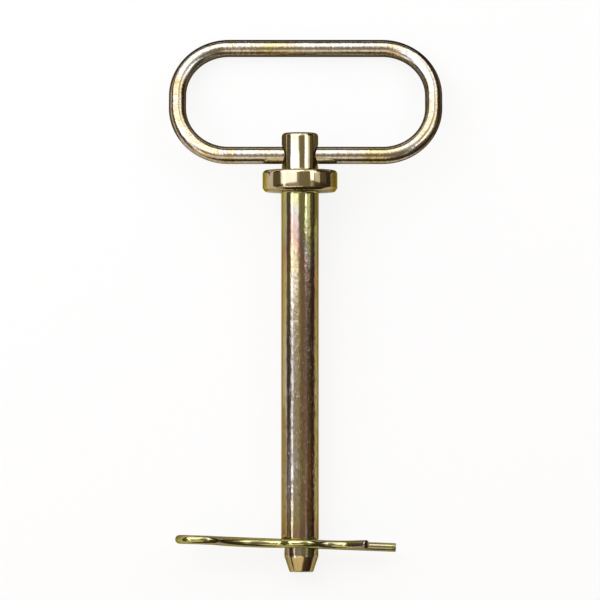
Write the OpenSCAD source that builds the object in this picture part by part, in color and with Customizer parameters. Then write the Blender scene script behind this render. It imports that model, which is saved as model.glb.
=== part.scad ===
// Hitch pin with a swinging loop handle and a spring clip, all in millimetres.
//
// The pin lies as it comes to rest on a flat surface: on the rim of its collar and on the end of its
// shank, with the far run of the handle let down onto the surface. +Z is up, +Y points from the nose
// to the head, and the origin is under the middle of the whole thing, on the surface it lies on.
//
// The pin itself is drawn in a frame of its own, where Y is its axis, y = 0 is the underside of the
// collar and +Z is up. Wire and rod are drawn as they are bent: feed a straight run, bend, feed again.

/* [Shank] */
// Diameter of the shank
shank_d = 16; // [12:0.5:20]
// Length of the shank at its full diameter, from the underside of the collar
shank_len = 148.1; // [105:0.1:200]
// Radius of the fillet between shank and collar
seat_fillet = 0.8; // [0.4:0.1:1.5]

/* [Nose] */
// Diameter of the short pilot below the shank
pilot_d = 14.5; // [9:0.1:14.8]
// Distance that the pilot and the tip lie off the shank's axis, as they were pressed
nose_shift = 0.6; // [0:0.1:0.6]
// Length of the sloping step from the shank down to the pilot
pilot_step = 0.8; // [0.4:0.1:1.6]
// Length of the straight part of the pilot
pilot_len = 6.5; // [5:0.1:12]
// Length of the tapered tip
tip_len = 6.8; // [3:0.1:12]
// Diameter of the flat end of the tip
tip_d = 10; // [6:0.1:12]
// Radius that softens the shoulder where the taper starts
shoulder_round = 9; // [2:0.5:12]
// Radius round the edge of the flat end
tip_round = 0.8; // [0.3:0.1:1.2]

/* [Collar] */
// Diameter of the collar
collar_d = 32; // [26:0.5:44]
// Thickness of the collar
collar_t = 9.2; // [5:0.1:14]
// Radius round the collar's edge on the head side
collar_round = 1.6; // [0.6:0.1:2.4]
// Width of the chamfer on the collar's edge on the nose side, measured along the radius
collar_bevel = 1.1; // [0.4:0.1:2]
// Height of that chamfer, measured along the axis
collar_bevel_h = 1.5; // [0.4:0.1:2.2]

/* [Head] */
// Diameter of the head above the collar
head_d = 15.6; // [12:0.1:20]
// Height of the head above the collar
head_h = 16; // [12:0.1:24]
// Radius round the top edge of the head
head_round = 1.7; // [0.6:0.1:2.2]
// Radius of the fillet between head and collar
head_fillet = 0.6; // [0.3:0.1:1.2]

/* [Handle] */
// Diameter of the handle's rod
rod_d = 7.4; // [5:0.1:8]
// Length of the loop, from centreline to centreline of its ends
loop_l = 109.8; // [80:0.2:140]
// Height of the loop, from centreline to centreline of its two long runs
loop_h = 49.5; // [46:0.1:70]
// Centreline radius of the loop's bends
loop_bend = 22; // [14:0.5:22]
// Gap between the rod's two ends, which meet inside the head
rod_end_gap = 1; // [0.4:0.1:2]
// Distance that the handle has slid sideways in the head
loop_shift = 2.4; // [-4:0.1:4]
// Height of the handle's hole above the collar, to the middle of the hole
loop_hole_h = 6.4; // [5.6:0.1:8]
// Chamfer at the cut ends of the rod
rod_chamfer = 0.5; // [0.2:0.1:1]
// Clearance between the rod and its hole, on the radius
rod_clear = 0.3; // [0.1:0.05:0.5]
// Depth of the countersinks of the handle's hole
rod_sink = 0.6; // [0.2:0.1:1]

/* [Clip] */
// Diameter of the clip's wire
wire_d = 3.75; // [2.5:0.05:4.2]
// Distance from the lower end of the full shank down to the middle of the clip's hole
clip_hole_down = 2.1; // [2:0.1:4]
// Clearance between the wire and its hole, on the radius
wire_clear = 0.45; // [0.35:0.05:0.7]
// Clearance between the clip's hump and the pilot that it grips
grip_clear = 0.15; // [0.1:0.05:0.4]
// Distance from the middle of the pilot to the end of the clip's straight leg
leg_l = 40.3; // [24:0.1:60]
// Distance from the middle of the pilot to the middle of the clip's eye
eye_at = 43.4; // [36:0.1:60]
// Outer diameter of the clip's eye
eye_d = 20.5; // [16:0.1:26]
// Gap between the clip's two legs where the wavy one comes nearest to the straight one
pinch_gap = 0.5; // [0.2:0.1:1.5]
// Centreline radius of the wavy leg's dips
dip_r = 12; // [8:0.5:14]
// Angle at which the wavy leg's tip flares out
flare = 40; // [20:1:50]
// Length of the straight part of that tip
flare_l = 8.2; // [4:0.1:14]
// Angle by which the straight leg lies askew in its hole, seen from above
clip_skew = 2.2; // [0:0.1:2.6]
// Twist of the wire up the side of the eye, which swings the wavy leg sideways
eye_twist = 0.9; // [0:0.1:2]
// Twist of the wire at the top of the eye, which leans the wavy leg over
leg_lean = 3.9; // [0:0.1:6]
// Chamfer at the cut ends of the wire
wire_chamfer = 0.35; // [0.1:0.05:0.6]

/* [Hidden] */
$fn = 64;

STEEL = [0.66, 0.58, 0.36];
ROD = [0.76, 0.68, 0.46];
SPRING = [0.55, 0.52, 0.25];

shank_r = shank_d / 2;
pilot_r = pilot_d / 2;
tip_r = tip_d / 2;
collar_r = collar_d / 2;
head_r = head_d / 2;
rod_r = rod_d / 2;
wire_r = wire_d / 2;
// Extra length that lets a cutting shape run out of what it cuts
overcut = 1;

// Bends are drawn thicker than straight runs by this much on the radius, and each straight run reaches
// this far into the bends beside it, so that the two always overlap
swell = 0.02;
lap = 0.25;

// Stations along the pin's axis
taper_at = shank_len + pilot_step + pilot_len;
nose_at = taper_at + tip_len;
head_top = collar_t + head_h;
loop_hole_at = collar_t + loop_hole_h;
clip_hole_at = shank_len + clip_hole_down;

// How the pin lies: on the lower edge of the collar's rim and on the end of the shank
rest_tilt = atan((collar_r - shank_r) / (shank_len + collar_bevel_h));
rest_lift = collar_r * cos(rest_tilt) - collar_bevel_h * sin(rest_tilt);
hinge_y = loop_hole_at * cos(rest_tilt);
hinge_z = rest_lift + loop_hole_at * sin(rest_tilt);
// The handle hangs down from its hinge until the far bends of its loop touch the surface
droop = asin((hinge_z - rod_r - swell) / loop_h);

// The middle of the whole thing, seen from above
loop_far_y = hinge_y + loop_h * cos(droop) + rod_r + swell;
nose_far_y = -nose_at * cos(rest_tilt) - tip_r * sin(rest_tilt);
middle = [loop_shift, (loop_far_y + nose_far_y) / 2];

// Shortest straight run between two bends of the clip
splice = 0.6;

// The wavy leg's curve: a hump round the pilot, a dip on each side of it, and a long sweep up to the
// eye. Heights are above the straight leg, and each arc is tangent to the straight run after it.
hump_r = pilot_r + grip_clear + swell + wire_r;
pinch_h = wire_d + pinch_gap;
hump_span = hump_r + dip_r;
dip_at = sqrt(pow(hump_span, 2) + pow(splice, 2) - pow(pinch_h + dip_r, 2));
wave_angle = atan2(dip_at, pinch_h + dip_r) - atan2(splice, hump_span);

eye_r = (eye_d - wire_d) / 2;
// The sweep runs from the last bend of the eye, round eye_top, down to the flat bottom of the dip
eye_top = eye_r + splice;
sweep_l = eye_at - dip_at - 2 * splice;
sweep_r = (pow(sweep_l, 2) - pow(splice, 2) + pow(eye_top - pinch_h, 2) - pow(eye_r, 2))
    / (2 * (eye_r + eye_top - pinch_h));
sweep_angle = atan2(sweep_l, sweep_r + pinch_h - eye_top) - atan2(splice, eye_r + sweep_r);

// The direction from one point to another, as a vector of length 1
function towards(from, to) = (to - from) / norm(to - from);

// The sliver between a corner of an outline and the arc that rounds it
module corner_sliver(before, corner, after, r) {
    back = towards(corner, before);
    ahead = towards(corner, after);
    half = acos(back * ahead) / 2;
    centre = corner + towards([0, 0], back + ahead) * r / sin(half);
    difference() {
        polygon([corner, corner + back * r / tan(half), centre, corner + ahead * r / tan(half)]);
        translate(centre) circle(r = r);
    }
}

// Outline of head, collar and shank, radius across and axis up, with its corners rounded and filleted
module body_outline() {
    step_edge = [pilot_r, -shank_len - pilot_step];
    shank_end = [shank_r, -shank_len];
    seat_corner = [shank_r, 0];
    bevel_in = [collar_r - collar_bevel, 0];
    bevel_out = [collar_r, collar_bevel_h];
    collar_edge = [collar_r, collar_t];
    head_corner = [head_r, collar_t];
    head_edge = [head_r, head_top];
    head_centre = [0, head_top];
    difference() {
        polygon([
            [0, step_edge.y], step_edge, shank_end, seat_corner, bevel_in, bevel_out,
            collar_edge, head_corner, head_edge, head_centre
        ]);
        corner_sliver(bevel_out, collar_edge, head_corner, collar_round);
        corner_sliver(head_corner, head_edge, head_centre, head_round);
    }
    corner_sliver(shank_end, seat_corner, bevel_in, seat_fillet);
    corner_sliver(collar_edge, head_corner, head_edge, head_fillet);
}

// Outline of the nose about its own axis, from inside the shank down to the flat end of the tip
module nose_outline() {
    nose_root = [pilot_r, -shank_len];
    shoulder = [pilot_r, -taper_at];
    tip_edge = [tip_r, -nose_at];
    tip_centre = [0, -nose_at];
    difference() {
        polygon([[0, nose_root.y], nose_root, shoulder, tip_edge, tip_centre]);
        corner_sliver(tip_centre, tip_edge, shoulder, tip_round);
        corner_sliver(tip_edge, shoulder, nose_root, shoulder_round);
    }
}

// A plain hole across a round bar of radius bar_r
module cross_hole(r, bar_r) {
    rotate([0, 90, 0]) cylinder(h = 2 * (bar_r + overcut), r = r, center = true);
}

// The countersinks at both mouths of such a hole
module mouth_sinks(r, bar_r, sink) {
    for (side = [0, 180]) rotate([0, side, 0]) translate([bar_r - sink, 0, 0]) rotate([0, 90, 0])
        cylinder(h = sink + overcut, r1 = r, r2 = r + sink + overcut);
}

// Where the pin's own frame lies in the frame of the whole thing
module pin_frame() {
    translate([-middle.x, -middle.y, rest_lift]) rotate([rest_tilt, 0, 0]) children();
}

// A straight run of round wire along +X, and then whatever follows it
module feed(d, length) {
    translate([-lap, 0, 0]) rotate([0, 90, 0]) cylinder(h = length + 2 * lap, d = d, $fn = 48);
    translate([length, 0, 0]) children();
}

// A bend in the XY plane, to the left where the angle is positive, and then whatever follows it
module bend(d, r, angle) {
    side = sign(angle);
    sweep = abs(angle);
    translate([0, side * r, 0]) rotate([0, 0, side > 0 ? -90 : 90 - sweep])
        rotate_extrude(angle = sweep) translate([r, 0]) circle(r = d / 2 + swell, $fn = 48);
    translate([r * sin(sweep), side * r * (1 - cos(sweep)), 0]) rotate([0, 0, angle]) children();
}

// A turn of the wire about its own direction, which tilts the plane of the bends that follow
module twist(angle) {
    rotate([angle, 0, 0]) children();
}

// The first or the last straight run of a wire, with a chamfer round its cut end
module end_run(d, length, chamfer) {
    rotate([0, 90, 0]) rotate_extrude($fn = 48) polygon([
        [0, 0], [d / 2 - chamfer, 0], [d / 2, chamfer], [d / 2, length + lap], [0, length + lap]
    ]);
}
module first_feed(d, length, chamfer) {
    end_run(d, length, chamfer);
    translate([length, 0, 0]) children();
}
module last_feed(d, length, chamfer) {
    translate([length, 0, 0]) mirror([1, 0, 0]) end_run(d, length, chamfer);
}

// Head, collar, shank and nose, forged and turned as one piece, with the two cross holes
module pin() {
    color(STEEL) pin_frame() difference() {
        union() {
            rotate([-90, 0, 0]) rotate_extrude() body_outline();
            translate([nose_shift, 0, 0]) rotate([-90, 0, 0]) rotate_extrude() nose_outline();
        }
        translate([0, loop_hole_at, 0]) {
            cross_hole(rod_r + rod_clear, head_r);
            mouth_sinks(rod_r + rod_clear, head_r, rod_sink);
        }
        translate([0, -clip_hole_at, 0]) cross_hole(wire_r + wire_clear, shank_r);
    }
}

// One rod bent into a long loop, whose two ends meet inside the head
module handle() {
    long_run = loop_l - 2 * loop_bend;
    short_run = loop_h - 2 * loop_bend;
    half_run = (long_run - rod_end_gap) / 2;
    color(ROD) translate([loop_shift - middle.x, hinge_y - middle.y, hinge_z]) rotate([-droop, 0, 0])
        translate([rod_end_gap / 2, 0, 0])
        first_feed(rod_d, half_run, rod_chamfer) bend(rod_d, loop_bend, 90)
        feed(rod_d, short_run) bend(rod_d, loop_bend, 90)
        feed(rod_d, long_run) bend(rod_d, loop_bend, 90)
        feed(rod_d, short_run) bend(rod_d, loop_bend, 90)
        last_feed(rod_d, half_run, rod_chamfer);
}

// Spring wire: a straight leg through the pilot, an eye, and a wavy leg that grips over the pilot
module clip() {
    color(SPRING) pin_frame() translate([nose_shift, -clip_hole_at, 0]) rotate([0, 0, -clip_skew])
        translate([leg_l, 0, 0]) rotate([-90, 0, 180])
        first_feed(wire_d, leg_l + eye_at, wire_chamfer)
        bend(wire_d, eye_r, -90) feed(wire_d, splice) twist(eye_twist)
        bend(wire_d, eye_r, -90) feed(wire_d, splice) twist(-leg_lean)
        bend(wire_d, eye_r, -sweep_angle) feed(wire_d, splice)
        bend(wire_d, sweep_r, sweep_angle) feed(wire_d, splice)
        bend(wire_d, dip_r, wave_angle) feed(wire_d, splice)
        bend(wire_d, hump_r, -2 * wave_angle) feed(wire_d, splice)
        bend(wire_d, dip_r, wave_angle + flare)
        last_feed(wire_d, flare_l, wire_chamfer);
}

pin();
handle();
clip();
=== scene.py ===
"""Hitch pin with a swinging loop handle and a spring clip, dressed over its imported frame."""

from math import asin, atan, atan2, cos, degrees, hypot, pi, radians, sin, sqrt, tan

import bmesh
import bpy
from mathutils import Matrix, Vector, noise

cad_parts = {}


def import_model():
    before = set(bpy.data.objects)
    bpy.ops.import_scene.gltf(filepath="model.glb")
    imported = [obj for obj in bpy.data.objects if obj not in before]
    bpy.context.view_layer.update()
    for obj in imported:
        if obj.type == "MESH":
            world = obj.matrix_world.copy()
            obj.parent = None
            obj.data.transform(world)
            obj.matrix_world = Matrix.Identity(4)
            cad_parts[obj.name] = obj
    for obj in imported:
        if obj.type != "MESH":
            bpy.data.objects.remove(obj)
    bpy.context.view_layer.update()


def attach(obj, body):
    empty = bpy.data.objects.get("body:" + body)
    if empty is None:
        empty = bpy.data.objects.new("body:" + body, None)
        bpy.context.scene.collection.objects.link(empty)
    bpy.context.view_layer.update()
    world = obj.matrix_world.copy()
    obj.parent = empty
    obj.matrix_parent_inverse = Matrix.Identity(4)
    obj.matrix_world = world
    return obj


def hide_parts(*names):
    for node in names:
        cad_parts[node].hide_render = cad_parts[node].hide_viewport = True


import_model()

MM = 0.001

# ------------------------------------------------------------------ sizes, in millimetres
# The pin is drawn along Y, with y = 0 at the collar's underside and the nose at -y. On its axis, _AT,
# _TOP and _END are stations. Elsewhere _R is a radius, _L a length and _H a height.
SHANK_R = 8.0
SHANK_END = -148.1
SHANK_BREAK = 0.12
SEAT_FILLET = 0.8

# Shallow waves in the forged shank: their depth, how many there are to a millimetre each way, and the
# distance between the rings of points that carry them.
WAVE_DEPTH = 0.035
WAVES_ACROSS = 0.16
WAVES_ALONG = 0.045
RING_STEP = 1.5

PILOT_R = 7.25
PILOT_TOP = SHANK_END - 0.8
TAPER_AT = PILOT_TOP - 6.5
NOSE_AT = TAPER_AT - 6.8
NOSE_SHIFT = 0.6
SHOULDER_ROUND = 3.0
TIP_R = 5.0
TIP_BREAK = 0.55

COLLAR_R = 16.0
COLLAR_TOP = 9.2
COLLAR_ROUND = 1.6
COLLAR_BEVEL = 1.1
COLLAR_BEVEL_H = 1.5
COLLAR_BREAK = 0.18

HEAD_R = 7.8
HEAD_TOP = COLLAR_TOP + 16
HEAD_ROUND = 1.7
HEAD_FILLET = 0.6

ROD_R = 3.7
ROD_CHAMFER = 0.5
ROD_END_GAP = 1.0
ROD_HOLE_R = ROD_R + 0.3
ROD_HOLE_AT = COLLAR_TOP + 6.4
ROD_SINK = 0.6
LOOP_L = 109.8
LOOP_H = 49.5
LOOP_BEND = 22.0
LOOP_SHIFT = 2.4

# The clip's straight leg and its eye are measured from the middle of the pin, its gaps between
# surfaces, and its bends to the middle of the wire. Twists, leans and the flare are in degrees.
WIRE_R = 1.875
WIRE_CHAMFER = 0.35
WIRE_HOLE_R = WIRE_R + 0.45
WIRE_HOLE_AT = SHANK_END - 2.1
LEG_L = 40.3
EYE_FROM_PIN = 43.4
EYE_R = 10.25 - WIRE_R
EYE_TWIST = 0.9
LEG_LEAN = 3.9
GRIP_CLEAR = 0.15
PINCH_GAP = 0.5
DIP_R = 12.0
SPLICE = 0.6
FLARE = 40
FLARE_L = 8.2
CLIP_SKEW = 2.2

OVERCUT = 2.0
MERGE = 5e-4
SHARP_EDGE = radians(40)

# The part file draws the frame's bends this much thicker than its straight runs, on the radius; here it only
# enters the handle's lie, the pin's centring and the clip's hump.
SWELL = 0.02

# The pin lies on the rim of its collar and on the end of its shank, and the handle lies on the floor.
TILT = atan((COLLAR_R - SHANK_R) / (-SHANK_END + COLLAR_BEVEL_H))
LIFT = COLLAR_R * cos(TILT) - COLLAR_BEVEL_H * sin(TILT)
HINGE_Y = ROD_HOLE_AT * cos(TILT)
HINGE_Z = LIFT + ROD_HOLE_AT * sin(TILT)
DROOP = asin((HINGE_Z - ROD_R - SWELL) / LOOP_H)
FRONT_Y = NOSE_AT * cos(TILT) - TIP_R * sin(TILT)
BACK_Y = HINGE_Y + LOOP_H * cos(DROOP) + ROD_R + SWELL
MIDDLE_Y = (BACK_Y + FRONT_Y) / 2

PIN_PLACE = Matrix.Translation((-LOOP_SHIFT, -MIDDLE_Y, LIFT)) @ Matrix.Rotation(TILT, 4, "X")
HANDLE_PLACE = Matrix.Translation((0, HINGE_Y - MIDDLE_Y, HINGE_Z)) @ Matrix.Rotation(-DROOP, 4, "X")

# ------------------------------------------------------------------ the plating
# The colour of the passivated zinc, from a thin film to a thick one.
FILM_COLOURS = [
    (0.00, (0.43, 0.45, 0.34)), (0.12, (0.50, 0.46, 0.38)), (0.26, (0.46, 0.39, 0.25)),
    (0.38, (0.43, 0.36, 0.16)), (0.50, (0.41, 0.33, 0.15)), (0.60, (0.41, 0.25, 0.14)),
    (0.70, (0.35, 0.23, 0.15)), (0.80, (0.33, 0.285, 0.20)), (0.90, (0.37, 0.36, 0.14)),
    (1.00, (0.42, 0.41, 0.15))]
SPECK_COLOUR = (0.26, 0.19, 0.10)
LINE_COLOUR = (0.34, 0.27, 0.16)
RUBBED_COLOUR = (0.70, 0.67, 0.59)

# How strongly the specks, the drawn lines and the scuffs show in the colour, the gloss and the relief.
SPECK_TINT = 0.65
LINE_TINT = 0.16
RIM_TINT = 0.7
SPECK_ROUGH = 0.10
LINE_ROUGH = 0.06
LINE_RELIEF = 0.25
SCUFF_RELIEF = 0.5

# How the pin's finish changes along it, as (station, value).
PIN_DRIFT = [
    (NOSE_AT, 0.40), (-155.5, 0.44), (-154.5, 0.80), (-149, 0.72), (-137, 0.38), (-120, 0.35),
    (-60, 0.46), (-35, 0.52), (-18, 0.88), (0, 0.98), (0.8, 0.38), (12, 0.33), (HEAD_TOP, 0.33)]
PIN_GRAIN = [
    (NOSE_AT, 0.5), (-145, 0.7), (-130, 1.7), (-75, 1.9), (-50, 1.4), (-14, 1.2), (-4, 0.6), (0, 0.1),
    (HEAD_TOP, 0.1)]
PIN_SCUFFS = [
    (NOSE_AT, 0.2), (-135, 0.3), (-125, 0.8), (-70, 0.9), (-60, 0.25), (0, 0.1), (HEAD_TOP, 0.1)]

# The pin's worn rims, as (radius, station, how far the rim's middle is off the axis, reach of the wear).
WORN_RIMS = [
    (COLLAR_R - 0.2, COLLAR_TOP - 0.5, 0, 0.7),
    (COLLAR_R, COLLAR_BEVEL_H, 0, 0.35),
    (COLLAR_R - COLLAR_BEVEL, 0, 0, 0.35),
    (HEAD_R - 0.4, HEAD_TOP - 0.5, 0, 0.7),
    (PILOT_R, TAPER_AT, NOSE_SHIFT, 0.5),
    (TIP_R - 0.1, NOSE_AT + 0.1, NOSE_SHIFT, 0.5),
    (SHANK_R, SHANK_END, 0, 0.35)]


# ------------------------------------------------------------------ shaping
def near(a, b, slack=1e-4):
    return abs(a - b) < slack


def turned(profile, rounds=(), steps=192, offset=0.0):
    """A lathe-turned solid about the Y axis from (radius, station) corners.

    Each of rounds is a corner, how far its rounding reaches from it, and the rounding's segments.
    """
    bm = bmesh.new()
    points = [bm.verts.new((r, y, 0)) for r, y in profile]
    for a, b in zip(points, points[1:]):
        bm.edges.new((a, b))
    bmesh.ops.spin(bm, geom=bm.verts[:] + bm.edges[:], axis=(0, 1, 0), cent=(0, 0, 0),
                   angle=2 * pi, steps=steps, use_merge=True, use_duplicate=False)
    bmesh.ops.remove_doubles(bm, verts=bm.verts[:], dist=1e-5)
    for (r, y), reach, segments in rounds:
        ring = [e for e in bm.edges
                if all(near(v.co.y, y) and near(hypot(v.co.x, v.co.z), r, 1e-3) for v in e.verts)]
        bmesh.ops.bevel(bm, geom=ring, offset=reach, offset_type="OFFSET", segments=segments,
                        profile=0.5, affect="EDGES", material=-1, clamp_overlap=True)
    bmesh.ops.translate(bm, verts=bm.verts[:], vec=(offset, 0, 0))
    bmesh.ops.recalc_face_normals(bm, faces=bm.faces[:])
    return bm


def cut_across(bm, stations):
    """Adds rings round the solid at these stations along Y, so that it can be shaped between them."""
    for y in stations:
        bmesh.ops.bisect_plane(bm, geom=bm.verts[:] + bm.edges[:] + bm.faces[:], dist=1e-5,
                               plane_co=(0, y, 0), plane_no=(0, 1, 0))


def cross_drill(r, station, mouth, sink=0.0):
    """The solid that a hole across the pin takes away, with both mouths countersunk if sink is given."""
    reach = mouth + OVERCUT
    if sink:
        flare = sink + reach - mouth
        wall = [(r + flare, -reach), (r, -mouth + sink), (r, mouth - sink), (r + flare, reach)]
    else:
        wall = [(r, -reach), (r, reach)]
    bm = turned([(0, -reach), *wall, (0, reach)], steps=96)
    bmesh.ops.rotate(bm, verts=bm.verts[:], cent=(0, 0, 0), matrix=Matrix.Rotation(pi / 2, 3, "Z"))
    bmesh.ops.translate(bm, verts=bm.verts[:], vec=(0, station, 0))
    bmesh.ops.recalc_face_normals(bm, faces=bm.faces[:])
    return bm


def as_object(bm, name):
    mesh = bpy.data.meshes.new(name)
    bm.to_mesh(mesh)
    bm.free()
    o = bpy.data.objects.new(name, mesh)
    bpy.context.scene.collection.objects.link(o)
    return o


def machined(body, tools):
    """Joins or cuts each (operation, tool) into body, and returns the result as a bmesh without slivers."""
    for operation, tool in tools:
        m = body.modifiers.new(operation, "BOOLEAN")
        m.operation = operation
        m.object = tool
        m.solver = "EXACT"
    shaped = body.evaluated_get(bpy.context.evaluated_depsgraph_get()).to_mesh()
    bm = bmesh.new()
    bm.from_mesh(shaped)
    bmesh.ops.remove_doubles(bm, verts=bm.verts[:], dist=MERGE)
    bmesh.ops.dissolve_degenerate(bm, edges=bm.edges[:], dist=MERGE)
    for o in [body] + [tool for _, tool in tools]:
        bpy.data.meshes.remove(o.data)
    return bm


def advance(bm, ring, stock, length, move):
    """Extrudes a ring of verts by one step of the stock, and returns the new ring."""
    whole = set(ring)
    edges = [e for v in ring for e in v.link_edges if e.verts[0] in whole and e.verts[1] in whole]
    made = bmesh.ops.extrude_edge_only(bm, edges=list(dict.fromkeys(edges)))["geom"]
    fresh = [g for g in made if isinstance(g, bmesh.types.BMVert)]
    for v in fresh:
        v[stock] = v[stock] + Vector((length * MM, 0, 0))
    bmesh.ops.transform(bm, matrix=move, verts=fresh)
    return fresh


def close_end(bm, ring, chamfer):
    """Caps a cut end of the stock and chamfers its edge."""
    whole = set(ring)
    rim = [e for e in bm.edges if e.verts[0] in whole and e.verts[1] in whole]
    bmesh.ops.holes_fill(bm, edges=rim, sides=0)
    bmesh.ops.bevel(bm, geom=rim, offset=chamfer, offset_type="OFFSET", segments=3, profile=0.5,
                    affect="EDGES", material=-1, clamp_overlap=True)


def bent_stock(r, runs, around, fine, chamfer):
    """Round stock that starts at the origin along +X and is fed and bent as runs say.

    Each run is ("feed", length), ("bend", radius, degrees) or ("twist", degrees). The ring has around
    points, and a bend is cut into lengths of about fine. Every point keeps where it was on the straight
    stock in the layer "stock", in metres, so that the finish follows the bends.
    """
    bm = bmesh.new()
    stock = bm.verts.layers.float_vector.new("stock")
    first = bmesh.ops.create_circle(bm, cap_ends=False, segments=around, radius=r,
                                    matrix=Matrix.Rotation(pi / 2, 4, "Y"))["verts"]
    for v in first:
        v[stock] = v.co * MM
    ring = first
    here = Matrix.Identity(4)
    for kind, *sizes in runs:
        if kind == "twist":
            here = here @ Matrix.Rotation(radians(sizes[0]), 4, "X")
        elif kind == "feed":
            length = sizes[0]
            steps = max(1, round(length / (fine * 4)))
            step = Matrix.Translation(here.to_3x3() @ Vector((length / steps, 0, 0)))
            for _ in range(steps):
                ring = advance(bm, ring, stock, length / steps, step)
            here = here @ Matrix.Translation((length, 0, 0))
        else:
            bend_r, turn = sizes[0], radians(sizes[1])
            to_pivot = Vector((0, bend_r if turn > 0 else -bend_r, 0))
            steps = max(4, round(abs(turn) * bend_r / fine))
            pivot = here @ to_pivot
            axis = here.to_3x3() @ Vector((0, 0, 1))
            step = (Matrix.Translation(pivot) @ Matrix.Rotation(turn / steps, 4, axis)
                    @ Matrix.Translation(-pivot))
            for _ in range(steps):
                ring = advance(bm, ring, stock, abs(turn) / steps * bend_r, step)
            here = (here @ Matrix.Translation(to_pivot) @ Matrix.Rotation(turn, 4, "Z")
                    @ Matrix.Translation(-to_pivot))
    close_end(bm, first, chamfer)
    close_end(bm, ring, chamfer)
    bmesh.ops.recalc_face_normals(bm, faces=bm.faces[:])
    return bm


def place(bm, matrix):
    """Puts what was drawn in millimetres where it belongs, in metres."""
    bmesh.ops.transform(bm, matrix=Matrix.Scale(MM, 4) @ matrix, verts=bm.verts[:])


def finish_piece(bm, name, node, material):
    """Makes the bmesh the piece that stands for a node and rides on the body of the same name."""
    for f in bm.faces:
        f.smooth = True
    o = as_object(bm, name)
    o.data.set_sharp_from_angle(angle=SHARP_EDGE)
    o.data.materials.append(material)
    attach(o, node)
    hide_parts(node)


# ------------------------------------------------------------------ nodes
def link(tree, a, b):
    tree.links.new(a, b)


def feed(tree, value, socket):
    """Gives a socket a value: another socket's, a colour without its alpha, or a number or vector."""
    if isinstance(value, bpy.types.NodeSocket):
        link(tree, value, socket)
    elif socket.type == "RGBA":
        socket.default_value = (*value, 1)
    else:
        socket.default_value = value


def add(tree, kind, **values):
    n = tree.nodes.new(kind)
    for key, value in values.items():
        setattr(n, key, value)
    return n


def calc(tree, operation, a, b=None, clamp=False):
    n = add(tree, "ShaderNodeMath", operation=operation, use_clamp=clamp)
    feed(tree, a, n.inputs[0])
    if b is not None:
        feed(tree, b, n.inputs[1])
    return n.outputs[0]


def plus(tree, a, b, clamp=False):
    return calc(tree, "ADD", a, b, clamp)


def minus(tree, a, b, clamp=False):
    return calc(tree, "SUBTRACT", a, b, clamp)


def times(tree, a, b, clamp=False):
    return calc(tree, "MULTIPLY", a, b, clamp)


def ramp(tree, value, stops):
    """A colour ramp from (position, colour) stops, where a plain number is a grey."""
    n = add(tree, "ShaderNodeValToRGB")
    elements = n.color_ramp.elements
    while len(elements) < len(stops):
        elements.new(0.5)
    for e, (position, colour) in zip(elements, stops):
        e.position = position
        e.color = (*colour, 1) if isinstance(colour, tuple) else (colour, colour, colour, 1)
    link(tree, value, n.inputs[0])
    return n.outputs[0]


def mix_colour(tree, share, a, b):
    n = add(tree, "ShaderNodeMix", data_type="RGBA")
    for socket, value in zip((n.inputs[0], n.inputs[6], n.inputs[7]), (share, a, b)):
        feed(tree, value, socket)
    return n.outputs[2]


def stretched(tree, vector, scale, move=(0, 0, 0), turn=(0, 0, 0)):
    n = add(tree, "ShaderNodeMapping")
    link(tree, vector, n.inputs["Vector"])
    n.inputs["Scale"].default_value = scale
    n.inputs["Location"].default_value = move
    n.inputs["Rotation"].default_value = turn
    return n.outputs[0]


def cloud(tree, vector, scale, detail, rough, distortion=0.0):
    n = add(tree, "ShaderNodeTexNoise")
    link(tree, vector, n.inputs["Vector"])
    n.inputs["Scale"].default_value = scale
    n.inputs["Detail"].default_value = detail
    n.inputs["Roughness"].default_value = rough
    n.inputs["Distortion"].default_value = distortion
    return n.outputs["Fac"]


def separated(tree, vector):
    n = add(tree, "ShaderNodeSeparateXYZ")
    link(tree, vector, n.inputs[0])
    return n.outputs


def new_group(name, takes, gives):
    """A node group that takes (label, value) numbers, or vectors where value is None."""
    g = bpy.data.node_groups.new(name, "ShaderNodeTree")
    for label, value in takes:
        kind = "NodeSocketVector" if value is None else "NodeSocketFloat"
        s = g.interface.new_socket(name=label, in_out="INPUT", socket_type=kind)
        if value is not None:
            s.default_value = value
    for label, kind in gives:
        g.interface.new_socket(name=label, in_out="OUTPUT", socket_type=kind)
    return g, add(g, "NodeGroupInput").outputs, add(g, "NodeGroupOutput").inputs


def use(tree, group, **values):
    """Places a group in a tree, with its inputs' labels as the keywords."""
    n = add(tree, "ShaderNodeGroup", node_tree=group)
    for label, value in values.items():
        feed(tree, value, n.inputs[label])
    return n.outputs


def new_material(name):
    """An empty material and its Material Output's surface."""
    m = bpy.data.materials.new(name)
    m.use_nodes = True
    m.node_tree.nodes.clear()
    return m, add(m.node_tree, "ShaderNodeOutputMaterial").inputs["Surface"]


# ------------------------------------------------------------------ shared effects
def plating_film():
    """Yellow passivated zinc: a colour that drifts through straw, gold, rose and olive with the film."""
    g, ins, outs = new_group(
        "Plating film", [("Stock", None), ("Drift", 0.0), ("Spread", 1.0)], [("Film", "NodeSocketColor")])
    slow = cloud(g, stretched(g, ins["Stock"], (1, 0.35, 1)), scale=55, detail=2, rough=0.5, distortion=0.4)
    quick = cloud(g, stretched(g, ins["Stock"], (1, 0.6, 1), (0.3, 0.1, 0)), scale=340, detail=3, rough=0.6)
    wander = plus(g, times(g, minus(g, slow, 0.5), 1.5), times(g, minus(g, quick, 0.5), 0.6))
    thick = plus(g, times(g, wander, ins["Spread"]), ins["Drift"], clamp=True)
    link(g, ramp(g, thick, FILM_COLOURS), outs["Film"])
    return g


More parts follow.
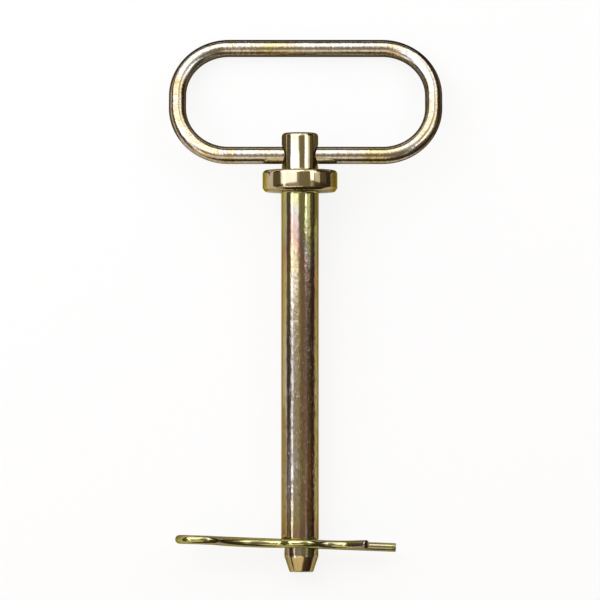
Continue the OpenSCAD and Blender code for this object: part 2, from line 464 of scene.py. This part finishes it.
def plating_grain():
    """The mottled grain of barrel plating over turned or drawn steel: a height and a mask of dull specks."""
    g, ins, outs = new_group(
        "Plating grain", [("Stock", None), ("Grain", 1.0)],
        [("Specks", "NodeSocketFloat"), ("Height", "NodeSocketFloat")])
    coarse = cloud(g, stretched(g, ins["Stock"], (1, 0.45, 1)), scale=900, detail=4, rough=0.62,
                   distortion=0.3)
    fine = cloud(g, ins["Stock"], scale=2600, detail=3, rough=0.6)
    specks = ramp(g, coarse, [(0.50, 0.0), (0.66, 1.0)])
    link(g, times(g, specks, ins["Grain"], clamp=True), outs["Specks"])
    broad = cloud(g, stretched(g, ins["Stock"], (1, 0.5, 1), (0.7, 0.2, 0.5)), scale=300, detail=2,
                  rough=0.5)
    height = plus(g, times(g, broad, 1.5), plus(g, times(g, coarse, 1.2), times(g, fine, 0.15)))
    link(g, times(g, height, ins["Grain"]), outs["Height"])
    return g


def scuffs():
    """Short bright scratches and small nicks from the barrel, in a few directions."""
    g, ins, outs = new_group("Scuffs", [("Stock", None), ("Amount", 0.5)], [("Marks", "NodeSocketFloat")])
    total = None
    for k, (turn, across, along) in enumerate(((0.5, 420, 34), (-0.7, 520, 40), (1.35, 460, 30))):
        cell = add(g, "ShaderNodeTexVoronoi", feature="DISTANCE_TO_EDGE")
        link(g, stretched(g, ins["Stock"], (across, along, across), (3.1 * k, 1.7 * k, 0.9 * k),
                          (0, 0.4 * k, turn)), cell.inputs["Vector"])
        cell.inputs["Scale"].default_value = 1.0
        line = ramp(g, cell.outputs["Distance"], [(0.0, 1.0), (0.025, 0.0)])
        patch = cloud(g, stretched(g, ins["Stock"], (1, 1, 1), (k, 2 * k, 0)), scale=260, detail=2,
                      rough=0.6)
        mark = times(g, line, ramp(g, patch, [(0.56, 0.0), (0.64, 1.0)]))
        total = mark if total is None else calc(g, "MAXIMUM", total, mark)
    link(g, times(g, total, ins["Amount"], clamp=True), outs["Marks"])
    return g


def drawn_lines():
    """Fine lines that run along the stock, from drawing it through a die."""
    g, ins, outs = new_group(
        "Drawn lines", [("Stock", None), ("Closeness", None)], [("Lines", "NodeSocketFloat")])
    v = add(g, "ShaderNodeVectorMath", operation="MULTIPLY")
    link(g, ins["Stock"], v.inputs[0])
    link(g, ins["Closeness"], v.inputs[1])
    link(g, cloud(g, v.outputs[0], scale=1.0, detail=4, rough=0.6), outs["Lines"])
    return g


def worn_rim():
    """Broken bright wear on one turned rim, given by its radius, its station and its centre in metres."""
    g, ins, outs = new_group(
        "Worn rim",
        [("Stock", None), ("Radius", 0.01), ("Station", 0.0), ("Centre", 0.0), ("Reach", 0.0005)],
        [("Wear", "NodeSocketFloat")])

    def long_side(a, b):
        return calc(g, "SQRT", plus(g, times(g, a, a), times(g, b, b)))

    at = separated(g, ins["Stock"])
    out_from_axis = long_side(minus(g, at["X"], ins["Centre"]), at["Z"])
    away = long_side(minus(g, out_from_axis, ins["Radius"]), minus(g, at["Y"], ins["Station"]))
    close = minus(g, 1.0, calc(g, "DIVIDE", away, ins["Reach"]), clamp=True)
    patchy = cloud(g, ins["Stock"], scale=420, detail=3, rough=0.65)
    broken = ramp(g, patchy, [(0.40, 0.0), (0.58, 1.0)])
    link(g, times(g, calc(g, "POWER", close, 0.6), broken), outs["Wear"])
    return g


FILM = plating_film()
GRAIN = plating_grain()
SCUFFS = scuffs()
LINES = drawn_lines()
RIM = worn_rim()


# ------------------------------------------------------------------ materials
def along_pin(tree, station, stops):
    """A value that changes along the pin, from (station in millimetres, value) stops."""
    low, high = stops[0][0], stops[-1][0]
    share = calc(tree, "DIVIDE", minus(tree, station, low * MM), (high - low) * MM, clamp=True)
    return ramp(tree, share, [((y - low) / (high - low), value) for y, value in stops])


def plated(name, look, tint, spread, closeness, rough, depth, rims=()):
    """Plated steel. look, given the tree and the stock, gives the film's drift, the grain and the scuffs.

    tint colours the reflection at a grazing angle, closeness is that of the drawn lines in each
    direction, and depth is the height of the relief in metres.
    """
    m, surface = new_material(name)
    t = m.node_tree
    stock = add(t, "ShaderNodeAttribute", attribute_name="stock").outputs["Vector"]
    drift, grain, amount = look(t, stock)
    film = use(t, FILM, Stock=stock, Drift=drift, Spread=spread)["Film"]
    pits = use(t, GRAIN, Stock=stock, Grain=grain)
    lines = use(t, LINES, Stock=stock, Closeness=closeness)["Lines"]
    marks = use(t, SCUFFS, Stock=stock, Amount=amount)["Marks"]
    for radius, station, centre, reach in rims:
        wear = use(t, RIM, Stock=stock, Radius=radius * MM, Station=station * MM,
                   Centre=centre * MM, Reach=reach * MM)["Wear"]
        marks = calc(t, "MAXIMUM", marks, times(t, wear, RIM_TINT))

    shade = mix_colour(t, times(t, pits["Specks"], SPECK_TINT), film, SPECK_COLOUR)
    shade = mix_colour(t, times(t, lines, LINE_TINT), shade, LINE_COLOUR)
    shade = mix_colour(t, marks, shade, RUBBED_COLOUR)
    gloss = plus(t, times(t, pits["Specks"], SPECK_ROUGH), plus(t, times(t, lines, LINE_ROUGH), rough))
    relief = plus(t, pits["Height"],
                  minus(t, times(t, lines, LINE_RELIEF), times(t, marks, SCUFF_RELIEF)))
    bump = add(t, "ShaderNodeBump")
    bump.inputs["Strength"].default_value = 1.0
    bump.inputs["Distance"].default_value = depth
    link(t, relief, bump.inputs["Height"])

    steel = add(t, "ShaderNodeBsdfPrincipled")
    steel.inputs["Metallic"].default_value = 1.0
    steel.inputs["Specular Tint"].default_value = (*tint, 1)
    link(t, shade, steel.inputs["Base Color"])
    link(t, gloss, steel.inputs["Roughness"])
    link(t, bump.outputs[0], steel.inputs["Normal"])
    link(t, steel.outputs[0], surface)
    return m


def pin_look(tree, stock):
    """The pin's finish: it changes along the pin, its film also round it in three stripes, and its grain
    from one side to the other. The stripes are partly painted highlight: they make the film paler where
    the left lamps' highlight falls and rosier on the right."""
    at = separated(tree, stock)
    drift, grain, amount = (along_pin(tree, at["Y"], stops) for stops in (PIN_DRIFT, PIN_GRAIN, PIN_SCUFFS))
    turn = calc(tree, "ARCTAN2", at["X"], at["Z"])
    # Partly painted highlight: three stripes round the pin that make the film paler where the left highlight
    # falls and rosier on the right side.
    highlight_stripes = calc(tree, "SINE", times(tree, turn, 3.0))
    side = calc(tree, "SINE", turn)
    drift = plus(tree, drift, times(tree, times(tree, highlight_stripes, 0.13), grain))
    grain = times(tree, grain, plus(tree, times(tree, side, 0.5), 0.85))
    return drift, grain, amount


def even_look(drift, grain, amount):
    """A finish that is alike all over the piece."""
    return lambda tree, stock: (drift, grain, amount)


def plated_pin():
    return plated("Plated turned steel", pin_look, tint=(0.55, 0.48, 0.09), spread=0.45,
                  closeness=(900, 60, 900), rough=0.06, depth=0.00005, rims=WORN_RIMS)


def plated_rod():
    return plated("Plated drawn rod", even_look(0.18, 1.0, 0.3), tint=(0.30, 0.26, 0.14),
                  spread=0.62, closeness=(60, 1100, 1100), rough=0.09, depth=0.00005)


def plated_wire():
    return plated("Plated spring wire", even_look(0.91, 0.4, 0.15), tint=(0.40, 0.37, 0.17),
                  spread=0.35, closeness=(60, 1500, 1500), rough=0.12, depth=0.00002)


# ------------------------------------------------------------------ the pin
def pin_blank():
    """The shank, the collar and the head, turned in one."""
    bm = turned(
        [(0, PILOT_TOP), (PILOT_R, PILOT_TOP), (SHANK_R, SHANK_END), (SHANK_R, 0),
         (COLLAR_R - COLLAR_BEVEL, 0), (COLLAR_R, COLLAR_BEVEL_H), (COLLAR_R, COLLAR_TOP),
         (HEAD_R, COLLAR_TOP), (HEAD_R, HEAD_TOP), (0, HEAD_TOP)],
        [((SHANK_R, 0), SEAT_FILLET, 5), ((COLLAR_R, COLLAR_TOP), COLLAR_ROUND, 7),
         ((HEAD_R, COLLAR_TOP), HEAD_FILLET, 4), ((HEAD_R, HEAD_TOP), HEAD_ROUND, 8),
         ((COLLAR_R, COLLAR_BEVEL_H), COLLAR_BREAK, 2), ((COLLAR_R - COLLAR_BEVEL, 0), COLLAR_BREAK, 2),
         ((SHANK_R, SHANK_END), SHANK_BREAK, 2)])
    first = SHANK_END + 1.0
    cut_across(bm, [first + RING_STEP * k for k in range(int(-first / RING_STEP))])
    return as_object(bm, "pin_blank")


def nose_blank():
    """The pilot and the tapered tip, a little off the shank's axis."""
    start = SHANK_END + 1
    flank = atan2(PILOT_R - TIP_R, TAPER_AT - NOSE_AT)
    bm = turned(
        [(0, start), (PILOT_R, start), (PILOT_R, TAPER_AT), (TIP_R, NOSE_AT), (0, NOSE_AT)],
        [((PILOT_R, TAPER_AT), SHOULDER_ROUND * tan(flank / 2), 4), ((TIP_R, NOSE_AT), TIP_BREAK, 5)],
        offset=NOSE_SHIFT)
    cut_across(bm, [TAPER_AT + 1.5 + k for k in range(5)])
    return as_object(bm, "nose_blank")


def forge_waves(bm):
    """Sinks shallow waves into the shank, never proud of its turned size, that fade out at its ends."""
    bm.normal_update()
    top = -SEAT_FILLET - 0.4
    foot = SHANK_END + 0.5
    for v in bm.verts:
        if foot < v.co.y < top:
            wave = noise.noise(Vector((v.co.x * WAVES_ACROSS, v.co.y * WAVES_ALONG, v.co.z * WAVES_ACROSS)))
            ease = min(1.0, (top - v.co.y) / 6, (v.co.y - foot) / 3)
            v.co -= v.normal * WAVE_DEPTH * (0.5 + 0.5 * wave) * ease


def make_pin():
    """The pin, with its nose joined on and its two holes drilled."""
    rod_drill = as_object(cross_drill(ROD_HOLE_R, ROD_HOLE_AT, HEAD_R, ROD_SINK), "rod_drill")
    wire_drill = as_object(cross_drill(WIRE_HOLE_R, WIRE_HOLE_AT, SHANK_R), "wire_drill")
    bm = machined(pin_blank(), [
        ("UNION", nose_blank()), ("DIFFERENCE", rod_drill), ("DIFFERENCE", wire_drill)])
    stock = bm.verts.layers.float_vector.new("stock")
    for v in bm.verts:
        v[stock] = v.co * MM
    forge_waves(bm)
    place(bm, PIN_PLACE)
    finish_piece(bm, "turned_pin", "pin", plated_pin())


# ------------------------------------------------------------------ the handle
def make_handle():
    """The loop, bent from one rod whose two ends meet in the pin's head."""
    long_run = LOOP_L - 2 * LOOP_BEND
    short_run = LOOP_H - 2 * LOOP_BEND
    half_run = (long_run - ROD_END_GAP) / 2
    bend = ("bend", LOOP_BEND, 90)
    bm = bent_stock(ROD_R, [
        ("feed", half_run), bend, ("feed", short_run), bend, ("feed", long_run), bend,
        ("feed", short_run), bend, ("feed", half_run)], around=72, fine=0.8, chamfer=ROD_CHAMFER)
    place(bm, HANDLE_PLACE @ Matrix.Translation((ROD_END_GAP / 2, 0, 0)))
    finish_piece(bm, "loop_handle", "handle", plated_rod())


# ------------------------------------------------------------------ the clip
def make_clip():
    """The clip, bent from one wire: straight leg, eye, dip, hump over the pilot, dip and flared tip.

    The wavy leg's arcs touch each other over short straights, and come down to the pinch gap on either
    side of the hump.
    """
    hump_r = PILOT_R + GRIP_CLEAR + SWELL + WIRE_R
    pinch = 2 * WIRE_R + PINCH_GAP
    span = hump_r + DIP_R
    dip_at = sqrt(span ** 2 + SPLICE ** 2 - (pinch + DIP_R) ** 2)
    wave = degrees(atan2(dip_at, pinch + DIP_R) - atan2(SPLICE, span))
    eye_top = EYE_R + SPLICE
    sweep_l = EYE_FROM_PIN - dip_at - 2 * SPLICE
    sweep_r = ((sweep_l ** 2 - SPLICE ** 2 + (eye_top - pinch) ** 2 - EYE_R ** 2)
               / (2 * (EYE_R + eye_top - pinch)))
    sweep = degrees(atan2(sweep_l, sweep_r + pinch - eye_top) - atan2(SPLICE, EYE_R + sweep_r))
    splice = ("feed", SPLICE)
    bm = bent_stock(WIRE_R, [
        ("feed", LEG_L + EYE_FROM_PIN), ("bend", EYE_R, -90), splice, ("twist", EYE_TWIST),
        ("bend", EYE_R, -90), splice, ("twist", -LEG_LEAN), ("bend", EYE_R, -sweep), splice,
        ("bend", sweep_r, sweep), splice, ("bend", DIP_R, wave), splice,
        ("bend", hump_r, -2 * wave), splice, ("bend", DIP_R, wave + FLARE), ("feed", FLARE_L)],
        around=56, fine=0.5, chamfer=WIRE_CHAMFER)
    place(bm, PIN_PLACE @ Matrix.Translation((NOSE_SHIFT, WIRE_HOLE_AT, 0))
          @ Matrix.Rotation(radians(-CLIP_SKEW), 4, "Z") @ Matrix.Translation((LEG_L, 0, 0))
          @ Matrix.Rotation(pi, 4, "Z") @ Matrix.Rotation(-pi / 2, 4, "X"))
    finish_piece(bm, "spring_clip", "clip", plated_wire())


# ------------------------------------------------------------------ studio, in metres and degrees
FLOOR_R = 6.0
FLOOR_COLOUR = (0.74, 0.70, 0.60)
WHITE_TO_CAMERA = 0.86
WHITE_TO_METAL = 0.1
WALL_R = 1.5
WALL_H = 0.66
CARD_TONE = (1.0, 0.82, 0.55)
PLAIN_LAMP = (0.96, 0.98, 1.14)
COOL_LAMP = (0.92, 0.98, 1.25)
COLD_LAMP = (0.92, 0.98, 1.45)
LAMP_AIM_Z = 0.015
LAMP_DISTANCE = 1.3
NEAR_LAMP_DISTANCE = 0.5
CAMERA_TARGET = (-0.00239, 0.00140, 0.014)
CAMERA_DISTANCE = 2.5
CAMERA_ELEVATION = 84.9
VIEW_WIDTH = 0.256


def floor():
    """A matt pale floor that looks white to the camera, and keeps a share of the object's shadow."""
    bm = bmesh.new()
    bmesh.ops.create_circle(bm, cap_ends=True, segments=128, radius=FLOOR_R)
    o = as_object(bm, "floor")
    m, surface = new_material("Pale floor")
    t = m.node_tree
    matt = add(t, "ShaderNodeBsdfDiffuse")
    matt.inputs["Color"].default_value = (*FLOOR_COLOUR, 1)
    lit = add(t, "ShaderNodeEmission")
    lit.inputs["Color"].default_value = (1, 1, 1, 1)
    lit.inputs["Strength"].default_value = 1.0
    ray = add(t, "ShaderNodeLightPath").outputs
    mirrored = calc(t, "MAXIMUM", ray["Is Glossy Ray"], ray["Is Transmission Ray"])
    white = calc(t, "MAXIMUM", times(t, ray["Is Camera Ray"], WHITE_TO_CAMERA),
                 times(t, mirrored, WHITE_TO_METAL))
    blend = add(t, "ShaderNodeMixShader")
    link(t, white, blend.inputs[0])
    link(t, matt.outputs[0], blend.inputs[1])
    link(t, lit.outputs[0], blend.inputs[2])
    link(t, blend.outputs[0], surface)
    o.data.materials.append(m)


def card(bm, name, shade):
    """A matt card of this shade that only the metal shows, as a studio's flags do; those lying on the floor
    are painted shade that the metal reflects.
    """
    o = as_object(bm, name)
    m = bpy.data.materials.new(name)
    m.use_nodes = True
    paper = m.node_tree.nodes["Principled BSDF"]
    paper.inputs["Base Color"].default_value = (*(shade * c for c in CARD_TONE), 1)
    paper.inputs["Roughness"].default_value = 1.0
    paper.inputs["Specular IOR Level"].default_value = 0.0
    o.data.materials.append(m)
    o.visible_camera = False
    o.visible_diffuse = False
    o.visible_shadow = False


def wall_card(name, shade):
    """A card that stands on the floor all round the object."""
    bm = bmesh.new()
    bmesh.ops.create_circle(bm, cap_ends=False, segments=96, radius=WALL_R)
    made = bmesh.ops.extrude_edge_only(bm, edges=bm.edges[:])["geom"]
    top = [g for g in made if isinstance(g, bmesh.types.BMVert)]
    bmesh.ops.translate(bm, verts=top, vec=(0, 0, WALL_H))
    card(bm, name, shade)


def floor_shade_card(name, x, y, shade):
    """A dark card that lies just on the floor, between these millimetres in x and in y: painted shade, seen
    only in the metal's reflections of the floor.
    """
    bm = bmesh.new()
    bmesh.ops.create_grid(bm, x_segments=1, y_segments=1, size=0.5)
    place(bm, Matrix.Translation((sum(x) / 2, sum(y) / 2, 0.1))
          @ Matrix.Diagonal((x[1] - x[0], y[1] - y[0], 1, 1)))
    card(bm, name, shade)


def cards():
    wall_card("wall_flag", 0.07)
    # Painted shade: dark cards on the floor that only the metal reflects. They darken its reflections of the
    # floor round the handle, beside the collar, to the right of the pin and to the left of the lower shank.
    floor_shade_card("handle_card", x=(-110, 110), y=(62, 112), shade=0.18)
    floor_shade_card("rim_card", x=(-110, 110), y=(112, 170), shade=0.03)
    floor_shade_card("side_card", x=(85, 1400), y=(-1400, 1400), shade=0.05)
    floor_shade_card("collar_card", x=(28, 84), y=(38, 61), shade=0.36)
    floor_shade_card("low_card", x=(-160, -24), y=(-98, -42), shade=0.52)


def world():
    """White low down, dim higher up and a little lighter overhead, from 0 at the horizon to 1 overhead."""
    w = bpy.data.worlds.new("Studio")
    bpy.context.scene.world = w
    w.use_nodes = True
    t = w.node_tree
    back = t.nodes["Background"]
    height = separated(t, add(t, "ShaderNodeTexCoord").outputs["Generated"])["Z"]
    link(t, ramp(t, height, [
        (0.0, (1.0, 1.0, 1.0)), (0.14, (0.98, 0.98, 0.98)), (0.34, (0.11, 0.085, 0.06)),
        (0.62, (0.11, 0.085, 0.06)), (0.84, (0.32, 0.28, 0.23)), (1.0, (0.36, 0.32, 0.27))]),
        back.inputs["Color"])
    back.inputs["Strength"].default_value = 1.0


def softbox(name, side, back, wide, long, level, tone=PLAIN_LAMP, distance=LAMP_DISTANCE, over_y=0):
    """A soft lamp that stands side and back from overhead, and is wide and long, all in degrees.

    The angles are seen from the point that it shines at, over_y millimetres along the pin from the
    middle. Seen from there, its face is as bright as a white of this level.
    """
    aim = Vector((tan(radians(side)), tan(radians(back)), 1)).normalized()
    lamp = bpy.data.lights.new(name, "AREA")
    lamp.shape = "RECTANGLE"
    lamp.size = 2 * distance * tan(radians(wide / 2))
    lamp.size_y = 2 * distance * tan(radians(long / 2))
    lamp.energy = level * lamp.size * lamp.size_y * pi
    lamp.color = tone
    o = bpy.data.objects.new(name, lamp)
    bpy.context.scene.collection.objects.link(o)
    o.visible_camera = False
    across = Vector((0, 1, 0)).cross(aim).normalized()
    facing = Matrix((across, aim.cross(across), aim)).transposed().to_4x4()
    o.matrix_world = Matrix.Translation(Vector((0, over_y * MM, LAMP_AIM_Z)) + aim * distance) @ facing


def near_softbox(name, over_y, side, wide, long, level, tone=PLAIN_LAMP):
    """A soft lamp that stands close, so that only a part of the pin shows it."""
    softbox(name, side, 0, wide, long, level, tone, NEAR_LAMP_DISTANCE, over_y)


def lamps():
    softbox("left_strip", side=-49.5, back=-10, wide=9, long=60, level=2.1, tone=COOL_LAMP)
    softbox("left_fill", side=-24, back=-10, wide=44, long=60, level=0.22)
    softbox("right_strip", side=37, back=-24, wide=10, long=34, level=0.45)
    near_softbox("head_box", over_y=108, side=-35, wide=50, long=24, level=2.15, tone=COLD_LAMP)
    near_softbox("head_strip", over_y=112, side=37, wide=11, long=18.5, level=3.7, tone=COLD_LAMP)
    near_softbox("head_fill", over_y=111, side=54, wide=18, long=20, level=1.1)
    near_softbox("head_haze", over_y=110, side=-78, wide=32, long=24, level=0.12, tone=(1.0, 0.92, 0.8))
    near_softbox("head_warmth", over_y=111, side=76, wide=22, long=18, level=0.12, tone=(1.0, 0.8, 0.65))
    near_softbox("low_strip", over_y=-100, side=-53, wide=5, long=4.2, level=3.2, tone=(1.0, 0.97, 1.1))
    near_softbox("low_fill", over_y=-90, side=-73, wide=24, long=4.8, level=0.28, tone=(1.0, 0.94, 1.15))
    near_softbox("low_blush", over_y=-82, side=62, wide=26, long=5.0, level=0.24, tone=(1.0, 0.66, 0.5))
    softbox("back_left", side=-32, back=45, wide=60, long=56, level=2.5)
    softbox("back_mid", side=14, back=45, wide=22, long=56, level=0.7)
    softbox("back_right", side=42, back=45, wide=22, long=56, level=2.2)
    softbox("front_box", side=-39, back=-50, wide=80, long=30, level=1.1, tone=(1.0, 0.86, 0.70))


def camera():
    """A long lens nearly overhead, that takes in VIEW_WIDTH at the target."""
    cam = bpy.data.cameras.new("camera")
    o = bpy.data.objects.new("camera", cam)
    bpy.context.scene.collection.objects.link(o)
    bpy.context.scene.camera = o
    elevation = radians(CAMERA_ELEVATION)
    o.location = Vector(CAMERA_TARGET) + Vector((0, -cos(elevation), sin(elevation))) * CAMERA_DISTANCE
    o.rotation_euler = (pi / 2 - elevation, 0, 0)
    cam.lens = cam.sensor_width * CAMERA_DISTANCE / VIEW_WIDTH
    cam.clip_end = 50


make_pin()
make_handle()
make_clip()
floor()
cards()
world()
lamps()
camera()
bpy.context.scene.view_settings.view_transform = "Standard"
